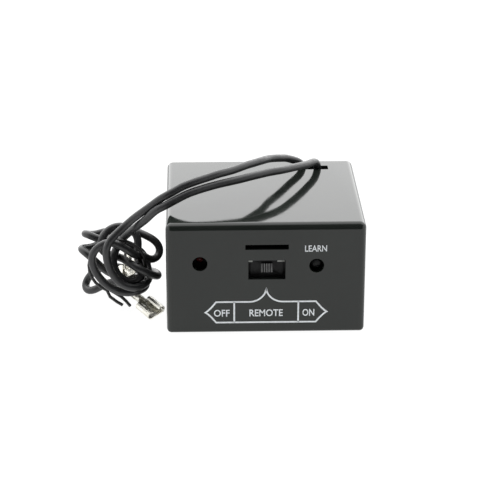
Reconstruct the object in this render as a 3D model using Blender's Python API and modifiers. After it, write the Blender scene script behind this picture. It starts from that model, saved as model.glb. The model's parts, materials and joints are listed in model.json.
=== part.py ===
"""Battery-powered remote-control receiver with two leads that end in push-on terminals.

The case stands on the XY plane. +Z is up, the control face looks towards -Y, and the origin is at the
middle of the case's footprint. All values are in metres.
"""

import math

import bmesh
import bpy
import numpy as np
from mathutils import Matrix

# Case
CASE_WIDTH = 0.072
CASE_DEPTH = 0.068
CASE_HEIGHT = 0.0425
CASE_WALL = 0.002
CASE_ROUND = 0.0024
FOOT_ROUND = 0.0013
FIT = 0.0003
CUT_OVER = 0.002
JOIN = 0.0003

# Control face, measured from the middle of the face's features
FACE_SHIFT = 0.0003
LED_X = -0.0241
BUTTON_X = 0.0179
LED_HEIGHT = 0.0273
BUTTON_HEIGHT = 0.0263
LED_HOLE = 0.0055
BUTTON_HOLE = 0.0054
SOUND_SLOT = (0.0156, 0.0019)
SOUND_HEIGHT = 0.0336
WINDOW = (0.0134, 0.0074)
WINDOW_HEIGHT = 0.0248

# Lead slot in the top
SLOT_SIZE = (0.0154, 0.0042)
SLOT_PLACE = (0.0183, 0.0247)

# Base, battery bay and door
BASE_THICK = 0.003
BAY_WALL = 0.001
CELL_RADIUS = 0.0071
CELL_LENGTH = 0.0484
CELL_NUB = (0.0026, 0.0014)
CELL_GAP = 0.0002
CELL_COUNT = 4
BAY_SPARE = 0.0054
DOOR_THICK = 0.0016
DOOR_SINK = 0.0004
DOOR_RAIL = (0.0010, 0.0006)
DOOR_STRIP = 0.008
DOOR_GRIP = (0.020, 0.0008)
BOSS_RADIUS = 0.0020
BOSS_Y = 0.0245
SCREW_RADIUS = 0.0008
SCREW_HEAD = (0.0016, 0.0011)
SCREW_LENGTH = 0.009
PLATE_THICK = 0.0005
PLATE_HEIGHT = 0.011
TAB_WIDTH = 0.002
SPRING_WIRE = 0.0003
SPRING_TURNS = 2.5
SPRING_ENDS = (0.0042, 0.0026)

# Circuit board and what stands on it
BOARD_THICK = 0.0016
BOARD_FRONT = 0.0295
BOARD_BACK = 0.0300
BOARD_HALF = 0.0296
RELAY = (0.0190, 0.0155, 0.0152)
RELAY_PLACE = (0.0150, 0.0060)
SOUNDER = (0.0060, 0.0085)
SOUNDER_PLACE = (0.0000, -0.0150)
CHIP = (0.0100, 0.0075, 0.0022)
CHIP_PLACE = (-0.0080, 0.0120)
CRYSTAL = (0.0110, 0.0046, 0.0035)
CRYSTAL_PLACE = (-0.0080, 0.0215)
CAPACITOR = (0.0032, 0.0110)
CAPACITOR_PLACE = (-0.0130, -0.0180)
RADIO_BOARD = (0.0260, 0.0012, 0.0130)
RADIO_PLACE = (-0.0110, -0.0020)
RADIO_CAN = (0.0120, 0.0025, 0.0080)
ANTENNA_WIRE = 0.0006
LEAD_BLOCK = (0.0130, 0.0064, 0.0060)

# Slide switch
SWITCH_BODY = (0.0150, 0.0050, 0.0070)
SWITCH_FRONT = 0.0040
SWITCH_SHEET = 0.0006
SWITCH_SLOT = (0.0114, 0.0042)
KNOB = (0.0042, 0.0034)
KNOB_RECESS = 0.0018
KNOB_RIBS = 5
KNOB_TRAVEL = 0.0030
CARRIAGE = (0.0070, 0.0014, 0.0050)
SHUTTER_THICK = 0.0006
SHUTTER_HEIGHT = 0.0060
SHUTTER_WIDTH = 0.0116

# Push switch and indicator
BUTTON_BODY = (0.0060, 0.0036, 0.0060)
BUTTON_BODY_FRONT = 0.0050
BUTTON_RADIUS = 0.0017
BUTTON_RECESS = 0.0022
BUTTON_TRAVEL = 0.0003
LED_RADIUS = 0.0015
LED_LENGTH = 0.0050
LED_RECESS = 0.0042
LED_HOLDER = (0.0050, 0.0040)

# Leads, coil, terminals and tie
LEAD_RADIUS = 0.00145
LEAD_SPACING = 0.0036
COIL_CENTRE = (-0.0545, 0.0166)
COIL_RADIUS = 0.0130
COIL_HOLE_CENTRE = (-0.0509, 0.0142)
COIL_HOLE = 0.0053
COIL_BASES = (0.0074, 0.0103)
COIL_FRONT = (-0.0170, -0.0109)
COIL_BACK = (-0.0087, 0.0035)
TIE_RADIUS = 0.0006
TIE_RING = 0.0106
TIE_SEGMENTS = 26
SHEET = 0.0004
SOCKET_LENGTH = 0.0080
SOCKET_WIDTH = 0.0078
SOCKET_HEIGHT = 0.0030
NECK = (0.0020, 0.0040)
WIRE_CRIMP = (0.0030, 0.0013)
SLEEVE_CRIMP = (0.0034, 0.0016)
TERMINAL_1 = ((-0.0421, -0.0168, 0.0015), -53.8, 10.0, 17.0)
TERMINAL_2 = ((-0.0504, -0.0080, 0.0129), -90.0, 0.0, 28.0)

LEAD_1_ROUTE = (
    (0.0220, 0.0247, 0.0216), (0.0220, 0.0247, 0.0300), (0.0220, 0.0247, 0.0385), (0.0219, 0.0242, 0.0436),
    (0.0208, 0.0205, 0.0466), (0.0170, 0.0128, 0.0487), (0.0118, 0.0063, 0.0500), (0.0065, 0.0002, 0.0506),
    (0.0020, -0.0036, 0.0510), (-0.0034, -0.0076, 0.0512),
    (-0.0100, -0.0113, 0.0509), (-0.0184, -0.0150, 0.0503),
    (-0.0275, -0.0190, 0.0488), (-0.0318, -0.0204, 0.0471), (-0.0357, -0.0207, 0.0450),
    (-0.0396, -0.0203, 0.0427), (-0.0440, -0.0190, 0.0382), (-0.0476, -0.0175, 0.0344),
    (-0.0501, -0.0164, 0.0318),
)
LEAD_2_ROUTE = (
    (0.0162, 0.0247, 0.0216), (0.0162, 0.0247, 0.0300), (0.0162, 0.0247, 0.0385), (0.0157, 0.0240, 0.0440),
    (0.0107, 0.0201, 0.0478), (0.0064, 0.0150, 0.0499), (0.0025, 0.0103, 0.0513), (-0.0003, 0.0053, 0.0524),
    (-0.0031, 0.0016, 0.0529), (-0.0063, -0.0024, 0.0534), (-0.0113, -0.0080, 0.0536),
    (-0.0165, -0.0122, 0.0537), (-0.0210, -0.0146, 0.0531), (-0.0252, -0.0166, 0.0524),
    (-0.0297, -0.0182, 0.0512), (-0.0340, -0.0193, 0.0491), (-0.0378, -0.0186, 0.0466),
    (-0.0426, -0.0168, 0.0423), (-0.0475, -0.0150, 0.0380), (-0.0516, -0.0137, 0.0341),
    (-0.0546, -0.0129, 0.0314),
)
TAIL_1_ROUTE = (
    (-0.0498, -0.0073, 0.0055), (-0.0512, -0.0054, 0.0059), (-0.0538, -0.0026, 0.0058),
    (-0.0573, -0.0006, 0.0046), (-0.0612, 0.0003, 0.0029), (-0.0648, 0.0007, 0.0019),
    (-0.0671, 0.0024, 0.0018), (-0.0676, 0.0048, 0.0032), (-0.0662, 0.0050, 0.0056),
    (-0.0642, 0.0038, 0.0074), (-0.0634, 0.0031, 0.0086),
)
TAIL_2_ROUTE = (
    (-0.0512, 0.0048, 0.0145), (-0.0512, 0.0074, 0.0148),
    (-0.0521, 0.0100, 0.0158), (-0.0548, 0.0112, 0.0182),
    (-0.0578, 0.0108, 0.0202), (-0.0598, 0.0085, 0.0214),
    (-0.0604, 0.0058, 0.0217), (-0.0604, 0.0039, 0.0217),
)
TIE_END_A = ((-0.0575, -0.0099, 0.0042), (-0.0550, -0.0101, 0.0022), (-0.0528, -0.0108, 0.0011))
TIE_END_B = ((-0.0533, -0.0096, 0.0040), (-0.0516, -0.0099, 0.0024), (-0.0500, -0.0118, 0.0012))

# Heights and places that follow from the sizes above
BASE_HALF_X = CASE_WIDTH / 2 - CASE_WALL - FIT
BASE_HALF_Y = CASE_DEPTH / 2 - CASE_WALL - FIT
CELL_PITCH = 2 * CELL_RADIUS + CELL_GAP
BAY_HALF_X = CELL_PITCH * CELL_COUNT / 2 + CELL_GAP
BAY_HALF_Y = (CELL_LENGTH + CELL_NUB[1] + BAY_SPARE) / 2
DOOR_TOP = DOOR_SINK + DOOR_THICK
CELL_BOTTOM = DOOR_TOP + 2 * FIT
CELL_MIDDLE = CELL_BOTTOM + CELL_RADIUS
BAY_CEILING = CELL_MIDDLE + CELL_RADIUS + FIT
BAY_TOP = BAY_CEILING + BAY_WALL
BOARD_LOW = BAY_TOP + FIT
BOARD_TOP = BOARD_LOW + BOARD_THICK
ON_BOARD = BOARD_TOP + FIT
INSIDE_TOP = CASE_HEIGHT - CASE_WALL
FACE_Y = -CASE_DEPTH / 2
BOSS_X = CASE_WIDTH / 2 - CASE_WALL - BOSS_RADIUS + 0.0001
DOOR_HALF = BAY_HALF_X + BAY_WALL - DOOR_RAIL[0] / 2
DOOR_START = -BASE_HALF_Y + DOOR_STRIP
CELL_REAR = BAY_HALF_Y - FIT - PLATE_THICK - FIT
TERMINAL_BACK = SOCKET_LENGTH / 2 + NECK[0] + WIRE_CRIMP[0] + SLEEVE_CRIMP[0]

BLACK_ABS = ((0.020, 0.021, 0.020), 0.35, 0.0)
DARK_NYLON = ((0.012, 0.012, 0.013), 0.45, 0.0)
STEEL = ((0.55, 0.55, 0.54), 0.35, 1.0)
TINNED_BRASS = ((0.72, 0.71, 0.66), 0.30, 1.0)
PVC = ((0.016, 0.016, 0.017), 0.38, 0.0)


def clear_scene():
    for obj in list(bpy.data.objects):
        bpy.data.objects.remove(obj, do_unlink=True)


def collection(name):
    made = bpy.data.collections.new(name)
    bpy.context.scene.collection.children.link(made)
    return made


def finish(name, look):
    """A Principled material with a colour, a roughness and a metallic value."""
    colour, roughness, metallic = look
    made = bpy.data.materials.new(name)
    made.use_nodes = True
    shader = made.node_tree.nodes["Principled BSDF"]
    shader.inputs["Base Color"].default_value = (*colour, 1.0)
    shader.inputs["Roughness"].default_value = roughness
    shader.inputs["Metallic"].default_value = metallic
    return made


def add_object(name, data, look=None, centre=(0, 0, 0), turn=None):
    """Links the data as a part, or as a cutter where no look is given."""
    obj = bpy.data.objects.new(name, data)
    obj.location = centre
    if turn is not None:
        obj.rotation_euler = turn
    if look is None:
        CUTTERS.objects.link(obj)
        obj.hide_render = True
        obj.display_type = "WIRE"
    else:
        PARTS.objects.link(obj)
        data.materials.append(finish(name, look))
    return obj


def box_mesh(name, size):
    work = bmesh.new()
    bmesh.ops.create_cube(work, size=1.0, matrix=Matrix.Diagonal((*size, 1.0)))
    data = bpy.data.meshes.new(name)
    work.to_mesh(data)
    work.free()
    return data


def box(name, low, high, look=None, round_edges=0.0, segments=2):
    """A box between two corners, with its edges rounded where a radius is given."""
    size = [b - a for a, b in zip(low, high)]
    centre = [(a + b) / 2 for a, b in zip(low, high)]
    obj = add_object(name, box_mesh(name, size), look, centre)
    if round_edges:
        bevel = obj.modifiers.new("Round", "BEVEL")
        bevel.width = round_edges
        bevel.segments = segments
        bevel.limit_method = "NONE"
    return obj


def cylinder(name, radius, length, centre, axis, look=None, segments=24):
    """A cylinder along X, Y or Z with its middle at centre."""
    work = bmesh.new()
    bmesh.ops.create_cone(
        work, cap_ends=True, segments=segments, radius1=radius, radius2=radius, depth=length
    )
    data = bpy.data.meshes.new(name)
    work.to_mesh(data)
    work.free()
    turn = {"X": (0, math.pi / 2, 0), "Y": (math.pi / 2, 0, 0), "Z": (0, 0, 0)}[axis]
    obj = add_object(name, data, look, centre, turn)
    if look is not None:
        data.shade_smooth()
        data.set_sharp_from_angle(angle=math.radians(35))
    return obj


def turned(name, profile, look, centre, turn=(0, 0, 0), steps=24):
    """A profile of (radius, height) from top to bottom, turned about its own Z."""
    data = bpy.data.meshes.new(name)
    points = [(r, 0.0, z) for r, z in profile]
    data.from_pydata(points, [(i, i + 1) for i in range(len(points) - 1)], [])
    obj = add_object(name, data, look, centre, turn)
    screw = obj.modifiers.new("Turn", "SCREW")
    screw.axis = "Z"
    screw.steps = steps
    screw.render_steps = steps
    screw.use_merge_vertices = True
    screw.merge_threshold = 0.00001
    screw.use_smooth_shade = True
    return obj


def join(obj, other, operation="UNION"):
    change = obj.modifiers.new(operation.title(), "BOOLEAN")
    change.operation = operation
    change.object = other
    change.solver = "EXACT"


def cut(obj, *cutters):
    for cutter in cutters:
        join(obj, cutter, "DIFFERENCE")


def smooth_route(route, spacing):
    """Points about a spacing apart on a centripetal Catmull-Rom curve through the route's points."""
    knots = np.array(route, dtype=float)
    knots = np.vstack([2 * knots[0] - knots[1], knots, 2 * knots[-1] - knots[-2]])
    fine = []
    for a, b, c, d in zip(knots, knots[1:], knots[2:], knots[3:]):
        t1 = math.sqrt(np.linalg.norm(b - a))
        t2 = t1 + math.sqrt(np.linalg.norm(c - b))
        t3 = t2 + math.sqrt(np.linalg.norm(d - c))
        t = np.linspace(t1, t2, 12, endpoint=False)[:, None]
        ab = (t1 - t) / t1 * a + t / t1 * b
        bc = (t2 - t) / (t2 - t1) * b + (t - t1) / (t2 - t1) * c
        cd = (t3 - t) / (t3 - t2) * c + (t - t2) / (t3 - t2) * d
        abc = (t2 - t) / t2 * ab + t / t2 * bc
        bcd = (t3 - t) / (t3 - t1) * bc + (t - t1) / (t3 - t1) * cd
        fine.append((t2 - t) / (t2 - t1) * abc + (t - t1) / (t2 - t1) * bcd)
    fine = np.vstack(fine + [knots[-2:-1]])
    along = np.concatenate([[0.0], np.cumsum(np.linalg.norm(np.diff(fine, axis=0), axis=1))])
    count = max(2, round(along[-1] / spacing) + 1)
    wanted = np.linspace(0.0, along[-1], count)
    return np.stack([np.interp(wanted, along, fine[:, k]) for k in range(3)], axis=1)


def tube(name, points, radius, look, resolution=2):
    """A round tube with closed ends along the given points."""
    data = bpy.data.curves.new(name, "CURVE")
    data.dimensions = "3D"
    data.bevel_depth = radius
    data.bevel_resolution = resolution
    data.use_fill_caps = True
    spline = data.splines.new("POLY")
    spline.points.add(len(points) - 1)
    for point, place in zip(spline.points, points):
        point.co = (*place, 1.0)
    return add_object(name, data, look)


def bent_profile(flat_half, radius, wrap, count):
    """(across, up) points of a sheet, flat in the middle and rolled up at both sides by wrap degrees."""
    half = flat_half + radius * math.radians(wrap)
    points = []
    for share in np.linspace(-1.0, 1.0, count):
        run = abs(share) * half
        roll = max(0.0, run - flat_half) / radius
        across = min(run, flat_half) + radius * math.sin(roll)
        points.append((math.copysign(across, share), radius * (1.0 - math.cos(roll))))
    return points


def make_case():
    low = (-CASE_WIDTH / 2, -CASE_DEPTH / 2, 0.0)
    high = (CASE_WIDTH / 2, CASE_DEPTH / 2, CASE_HEIGHT)
    case = box("case_top", low, high, BLACK_ABS)
    weights = case.data.attributes.new("bevel_weight_edge", "FLOAT", "EDGE")
    for edge in case.data.edges:
        heights = [case.data.vertices[i].co.z for i in edge.vertices]
        weights.data[edge.index].value = FOOT_ROUND / CASE_ROUND if max(heights) < 0 else 1.0
    bevel = case.modifiers.new("Round", "BEVEL")
    bevel.width = CASE_ROUND
    bevel.segments = 5
    bevel.limit_method = "WEIGHT"
    inside_low = (-CASE_WIDTH / 2 + CASE_WALL, -CASE_DEPTH / 2 + CASE_WALL, -CUT_OVER)
    inside_high = (CASE_WIDTH / 2 - CASE_WALL, CASE_DEPTH / 2 - CASE_WALL, INSIDE_TOP)
    cut(case, box("cut_inside", inside_low, inside_high))
    length = INSIDE_TOP + JOIN - BASE_THICK - FIT
    middle = INSIDE_TOP + JOIN - length / 2
    for place, x, y in screw_places():
        join(case, cylinder(f"boss_{place}", BOSS_RADIUS, length, (x, y, middle), "Z", segments=20))
    for place, x, y in screw_places():
        bore_middle = BASE_THICK + SCREW_LENGTH / 2
        bore = cylinder(f"cut_bore_{place}", SCREW_RADIUS + FIT, SCREW_LENGTH, (x, y, bore_middle), "Z")
        cut(case, bore)
    for name, (width, height), z in (("window", WINDOW, WINDOW_HEIGHT), ("sound", SOUND_SLOT, SOUND_HEIGHT)):
        corner = (FACE_SHIFT - width / 2, FACE_Y - CUT_OVER, z - height / 2)
        other = (FACE_SHIFT + width / 2, FACE_Y + CASE_WALL + CUT_OVER / 2, z + height / 2)
        cut(case, box(f"cut_{name}", corner, other))
    holes = (("led", LED_X, LED_HEIGHT, LED_HOLE), ("button", BUTTON_X, BUTTON_HEIGHT, BUTTON_HOLE))
    for name, x, z, bore in holes:
        centre = (FACE_SHIFT + x, FACE_Y, z)
        cut(case, cylinder(f"cut_{name}", bore / 2, 3 * CASE_WALL, centre, "Y", segments=32))
    corner = (SLOT_PLACE[0] - SLOT_SIZE[0] / 2, SLOT_PLACE[1] - SLOT_SIZE[1] / 2, INSIDE_TOP - CUT_OVER / 2)
    other = (SLOT_PLACE[0] + SLOT_SIZE[0] / 2, SLOT_PLACE[1] + SLOT_SIZE[1] / 2, CASE_HEIGHT + CUT_OVER)
    cut(case, box("cut_lead_slot", corner, other))
    notch_half = DOOR_HALF + DOOR_RAIL[0] + FIT
    corner = (-notch_half, CASE_DEPTH / 2 - CASE_WALL - CUT_OVER / 2, -CUT_OVER)
    other = (notch_half, CASE_DEPTH / 2 + CUT_OVER, DOOR_TOP + FIT)
    cut(case, box("cut_door_notch", corner, other))


def screw_places():
    for side, x in (("left", -BOSS_X), ("right", BOSS_X)):
        for end, y in (("front", -BOSS_Y), ("rear", BOSS_Y)):
            yield f"{end}_{side}", x, y


def make_base():
    base_high = (BASE_HALF_X, BASE_HALF_Y, BASE_THICK)
    base = box("case_base", (-BASE_HALF_X, -BASE_HALF_Y, 0.0), base_high, BLACK_ABS)
    bay_x = BAY_HALF_X + BAY_WALL
    bay_y = BAY_HALF_Y + BAY_WALL
    join(base, box("bay_block", (-bay_x, -bay_y, BASE_THICK - JOIN), (bay_x, bay_y, BAY_TOP)))
    bay_floor = CELL_BOTTOM - FIT
    cut(base, box("cut_bay", (-BAY_HALF_X, -BAY_HALF_Y, bay_floor), (BAY_HALF_X, BAY_HALF_Y, BAY_CEILING)))
    opening_low = (-BAY_HALF_X, DOOR_START + FIT, -CUT_OVER)
    cut(base, box("cut_opening", opening_low, (BAY_HALF_X, BAY_HALF_Y, BASE_THICK + JOIN)))
    recess = DOOR_HALF + FIT
    recess_low = (-recess, DOOR_START, -CUT_OVER)
    cut(base, box("cut_recess", recess_low, (recess, CASE_DEPTH, DOOR_TOP + FIT)))
    rail_low, rail_high = rail_heights()
    groove = DOOR_HALF + DOOR_RAIL[0] + FIT
    groove_low = (-groove, DOOR_START, rail_low - FIT)
    cut(base, box("cut_groove", groove_low, (groove, CASE_DEPTH, rail_high + FIT)))
    for place, x, y in screw_places():
        shank = cylinder(f"cut_shank_{place}", SCREW_RADIUS + FIT, 3 * BASE_THICK, (x, y, 0.0), "Z")
        depth = SCREW_HEAD[1] + FIT
        head = cylinder(f"cut_head_{place}", SCREW_HEAD[0] + FIT, 2 * depth, (x, y, 0.0), "Z")
        cut(base, shank, head)
    for name, x, y in tab_places():
        cut(base, tab_cutter(f"cut_{name}_base", x, y))


def rail_heights():
    middle = DOOR_SINK + DOOR_THICK / 2
    return middle - DOOR_RAIL[1] / 2, middle + DOOR_RAIL[1] / 2


def make_door():
    front = DOOR_START + FIT
    rear = CASE_DEPTH / 2 - FIT
    door = box("battery_door", (-DOOR_HALF, front, DOOR_SINK), (DOOR_HALF, rear, DOOR_TOP), BLACK_ABS)
    rail_low, rail_high = rail_heights()
    rail = DOOR_HALF + DOOR_RAIL[0]
    rail_end = CASE_DEPTH / 2 - CASE_WALL - FIT
    join(door, box("door_rail", (-rail, front + FIT, rail_low), (rail, rail_end, rail_high)))
    for i in range(3):
        y = rear - 0.006 - 0.002 * i
        low = (-DOOR_GRIP[0] / 2, y - DOOR_GRIP[1] / 2, -CUT_OVER)
        high = (DOOR_GRIP[0] / 2, y + DOOR_GRIP[1] / 2, DOOR_SINK + 0.0005)
        cut(door, box(f"cut_grip_{i + 1}", low, high))


def cell_places():
    """Each cell's number, its X, and +1 where its positive end points to the rear."""
    for i in range(CELL_COUNT):
        yield i + 1, (i - (CELL_COUNT - 1) / 2) * CELL_PITCH, 1 if i % 2 == 0 else -1


def make_cells():
    nub_radius, nub_height = CELL_NUB
    crimp = 0.0006
    half = CELL_LENGTH / 2
    profile = (
        (0.0, half + nub_height), (nub_radius, half + nub_height), (nub_radius, half),
        (CELL_RADIUS - crimp, half), (CELL_RADIUS, half - crimp), (CELL_RADIUS, -half + crimp),
        (CELL_RADIUS - crimp, -half), (0.0, -half),
    )
    for number, x, way in cell_places():
        y = way * (CELL_REAR - nub_height - half)
        turn = (-way * math.pi / 2, 0, 0)
        turned(f"battery_cell_{number}", profile, ((0.10, 0.11, 0.12), 0.35, 0.4), (x, y, CELL_MIDDLE), turn)


def tab_places():
    """The two end contacts, whose tabs pass through the bay's ceiling and the board."""
    first = -(CELL_COUNT - 1) / 2 * CELL_PITCH
    yield "contact_positive", first, BAY_HALF_Y - FIT - PLATE_THICK / 2
    yield "contact_negative", -first, BAY_HALF_Y - FIT - PLATE_THICK / 2


def tab_cutter(name, x, y):
    half = TAB_WIDTH / 2 + FIT
    thick = PLATE_THICK / 2 + FIT
    return box(name, (x - half, y - thick, BAY_CEILING - JOIN), (x + half, y + thick, BOARD_TOP + CUT_OVER))


def make_contacts():
    low = CELL_MIDDLE - PLATE_HEIGHT / 2
    high = CELL_MIDDLE + PLATE_HEIGHT / 2
    inner = BAY_HALF_Y - FIT - PLATE_THICK
    outer = BAY_HALF_Y - FIT
    short = CELL_RADIUS - 0.0012
    for name, x, y in tab_places():
        plate = box(name, (x - short, inner, low), (x + short, outer, high), STEEL)
        tab_low = (x - TAB_WIDTH / 2, inner, high - JOIN)
        tab_high = (x + TAB_WIDTH / 2, outer, BOARD_TOP)
        join(plate, box(f"{name}_tab", tab_low, tab_high))
    long = CELL_PITCH / 2 + short
    for name, x, way in (("link_rear", 0.0, 1), ("link_front_left", -1, -1), ("link_front_right", 1, -1)):
        middle = x * CELL_PITCH
        near, far = sorted((way * inner, way * outer))
        box(f"contact_{name}", (middle - long, near, low), (middle + long, far, high), STEEL)


def make_springs():
    start = BAY_HALF_Y - FIT - PLATE_THICK - FIT - SPRING_WIRE
    cell_end = CELL_REAR - CELL_NUB[1] - CELL_LENGTH
    end = -cell_end + FIT + SPRING_WIRE
    angles = np.linspace(0.0, 2 * math.pi * SPRING_TURNS, round(12 * SPRING_TURNS) + 1)
    share = angles / angles[-1]
    radius = SPRING_ENDS[0] + (SPRING_ENDS[1] - SPRING_ENDS[0]) * share
    depth = start + (end - start) * share
    for number, x, way in cell_places():
        across = x + radius * np.cos(angles)
        up = CELL_MIDDLE + radius * np.sin(angles)
        points = np.stack([across, -way * depth, up], axis=1)
        tube(f"battery_spring_{number}", points, SPRING_WIRE, STEEL, resolution=1)


def make_screws():
    head_radius, head_height = SCREW_HEAD
    profile = (
        (0.0, SCREW_LENGTH), (SCREW_RADIUS * 0.5, SCREW_LENGTH), (SCREW_RADIUS, SCREW_LENGTH - 0.0008),
        (SCREW_RADIUS, head_height), (head_radius, head_height), (head_radius, 0.0004), (0.0012, 0.0),
        (0.0, 0.0),
    )
    for place, x, y in screw_places():
        turned(f"case_screw_{place}", profile, STEEL, (x, y, 0.0002), steps=16)


def on_board(name, size, place, look, round_edges=0.0):
    """A box that stands on the board, with its middle at a place in plan."""
    low = (place[0] - size[0] / 2, place[1] - size[1] / 2, ON_BOARD)
    high = (place[0] + size[0] / 2, place[1] + size[1] / 2, ON_BOARD + size[2])
    return box(name, low, high, look, round_edges)


def make_board():
    board_low = (-BOARD_HALF, -BOARD_FRONT, BOARD_LOW)
    board_high = (BOARD_HALF, BOARD_BACK, BOARD_TOP)
    board = box("circuit_board", board_low, board_high, ((0.02, 0.09, 0.03), 0.4, 0.0))
    for name, x, y in tab_places():
        cut(board, tab_cutter(f"cut_{name}_board", x, y))
    on_board("relay", RELAY, RELAY_PLACE, ((0.01, 0.05, 0.16), 0.4, 0.0), 0.0005)
    on_board("controller_chip", CHIP, CHIP_PLACE, DARK_NYLON)
    on_board("crystal", CRYSTAL, CRYSTAL_PLACE, STEEL, 0.0010)
    sounder_middle = (*SOUNDER_PLACE, ON_BOARD + SOUNDER[1] / 2)
    cylinder("sounder", SOUNDER[0], SOUNDER[1], sounder_middle, "Z", DARK_NYLON)
    cap_middle = (*CAPACITOR_PLACE, ON_BOARD + CAPACITOR[1] / 2)
    cylinder("capacitor", CAPACITOR[0], CAPACITOR[1], cap_middle, "Z", ((0.02, 0.02, 0.05), 0.4, 0.0))
    on_board("radio_board", RADIO_BOARD, RADIO_PLACE, ((0.02, 0.09, 0.03), 0.4, 0.0))
    can_y = RADIO_PLACE[1] - RADIO_BOARD[1] / 2 - FIT - RADIO_CAN[1] / 2
    on_board("radio_shield_can", RADIO_CAN, (RADIO_PLACE[0], can_y), STEEL)
    block = on_board("lead_clamp", LEAD_BLOCK, (SLOT_PLACE[0] + 0.0008, SLOT_PLACE[1]), DARK_NYLON)
    for number, route in ((1, LEAD_1_ROUTE), (2, LEAD_2_ROUTE)):
        centre = (route[0][0], route[0][1], ON_BOARD + LEAD_BLOCK[2] / 2)
        cut(block, cylinder(f"cut_clamp_{number}", LEAD_RADIUS + FIT, 2 * LEAD_BLOCK[2], centre, "Z"))


def make_antenna():
    """A wire that lies on the board along its left and rear edges."""
    z = ON_BOARD + ANTENNA_WIRE
    left = -BOARD_HALF + 0.0035
    rear = BOARD_BACK - 0.0050
    turn = 0.004
    corner = [(left + turn - turn * math.cos(a), rear - turn + turn * math.sin(a), z)
              for a in np.linspace(0.0, math.pi / 2, 7)]
    start_x = RADIO_PLACE[0] - RADIO_BOARD[0] / 2 - 0.0008
    points = [(start_x, RADIO_PLACE[1], z), (left + 0.0004, RADIO_PLACE[1] + 0.0016, z)]
    points += corner
    points.append((0.0060, rear, z))
    tube("antenna_wire", points, ANTENNA_WIRE, PVC, resolution=1)


def make_slide_switch():
    width, depth, height = SWITCH_BODY
    front = FACE_Y + SWITCH_FRONT
    low = (FACE_SHIFT - width / 2, front, WINDOW_HEIGHT - height / 2)
    high = (FACE_SHIFT + width / 2, front + depth, WINDOW_HEIGHT + height / 2)
    frame = box("switch_frame", low, high, STEEL)
    hollow_low = (low[0] + SWITCH_SHEET, front + SWITCH_SHEET, low[2] + SWITCH_SHEET)
    hollow_high = (high[0] - SWITCH_SHEET, high[1] + CUT_OVER, high[2] - SWITCH_SHEET)
    cut(frame, box("cut_switch_hollow", hollow_low, hollow_high))
    slot_low = (FACE_SHIFT - SWITCH_SLOT[0] / 2, front - CUT_OVER, WINDOW_HEIGHT - SWITCH_SLOT[1] / 2)
    slot_top = WINDOW_HEIGHT + SWITCH_SLOT[1] / 2
    slot_high = (FACE_SHIFT + SWITCH_SLOT[0] / 2, front + 2 * SWITCH_SHEET, slot_top)
    cut(frame, box("cut_switch_slot", slot_low, slot_high))
    base_low = [value + FIT for value in hollow_low]
    base_low[1] = front + SWITCH_SHEET + FIT + CARRIAGE[1] + FIT
    base_high = (hollow_high[0] - FIT, high[1] - FIT, hollow_high[2] - FIT)
    box("switch_base", base_low, base_high, ((0.25, 0.16, 0.08), 0.6, 0.0))
    half = CARRIAGE[0] / 2
    back_low = (-half, front + SWITCH_SHEET + FIT, -CARRIAGE[2] / 2)
    back_high = (half, front + SWITCH_SHEET + FIT + CARRIAGE[1], CARRIAGE[2] / 2)
    knob_front = FACE_Y + KNOB_RECESS
    size = [b - a for a, b in zip(back_low, back_high)]
    knob = add_object("slide_knob", box_mesh("slide_knob", size), DARK_NYLON)
    middle_y = (back_low[1] + back_high[1]) / 2
    knob.location = (FACE_SHIFT, middle_y, WINDOW_HEIGHT)
    stem_low = (FACE_SHIFT - KNOB[0] / 2, knob_front, WINDOW_HEIGHT - KNOB[1] / 2)
    stem_high = (FACE_SHIFT + KNOB[0] / 2, back_low[1] + JOIN, WINDOW_HEIGHT + KNOB[1] / 2)
    join(knob, box("knob_stem", stem_low, stem_high))
    shutter_base = WINDOW_HEIGHT - SHUTTER_HEIGHT / 2
    shutter_low = (FACE_SHIFT - SHUTTER_WIDTH / 2, front - FIT - SHUTTER_THICK, shutter_base)
    shutter_high = (FACE_SHIFT + SHUTTER_WIDTH / 2, front - FIT, WINDOW_HEIGHT + SHUTTER_HEIGHT / 2)
    join(knob, box("knob_shutter", shutter_low, shutter_high))
    pitch = KNOB[0] / KNOB_RIBS
    for i in range(KNOB_RIBS - 1):
        x = FACE_SHIFT + (i - (KNOB_RIBS - 2) / 2) * pitch
        groove_low = (x - pitch / 5, knob_front - CUT_OVER, WINDOW_HEIGHT - KNOB[1])
        groove_high = (x + pitch / 5, knob_front + 0.0005, WINDOW_HEIGHT + KNOB[1])
        cut(knob, box(f"cut_knob_groove_{i + 1}", groove_low, groove_high))


def make_button():
    x = FACE_SHIFT + BUTTON_X
    width, depth, height = BUTTON_BODY
    front = FACE_Y + BUTTON_BODY_FRONT
    low = (x - width / 2, front, BUTTON_HEIGHT - height / 2)
    high = (x + width / 2, front + depth, BUTTON_HEIGHT + height / 2)
    body = box("button_switch", low, high, DARK_NYLON)
    travel_room = BUTTON_TRAVEL + 2 * FIT
    bore_length = 2 * (travel_room + 0.0006)
    bore = cylinder("cut_button_bore", BUTTON_RADIUS + FIT, bore_length, (x, front, BUTTON_HEIGHT), "Y")
    cut(body, bore)
    tip = FACE_Y + BUTTON_RECESS
    rear = front + 0.0006
    edge = 0.0004
    profile = (
        (0.0, rear - tip), (BUTTON_RADIUS - edge, rear - tip), (BUTTON_RADIUS, rear - tip - edge),
        (BUTTON_RADIUS, 0.0), (0.0, 0.0),
    )
    turned("learn_button", profile, DARK_NYLON, (x, rear, BUTTON_HEIGHT), (math.pi / 2, 0, 0), steps=20)


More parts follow.
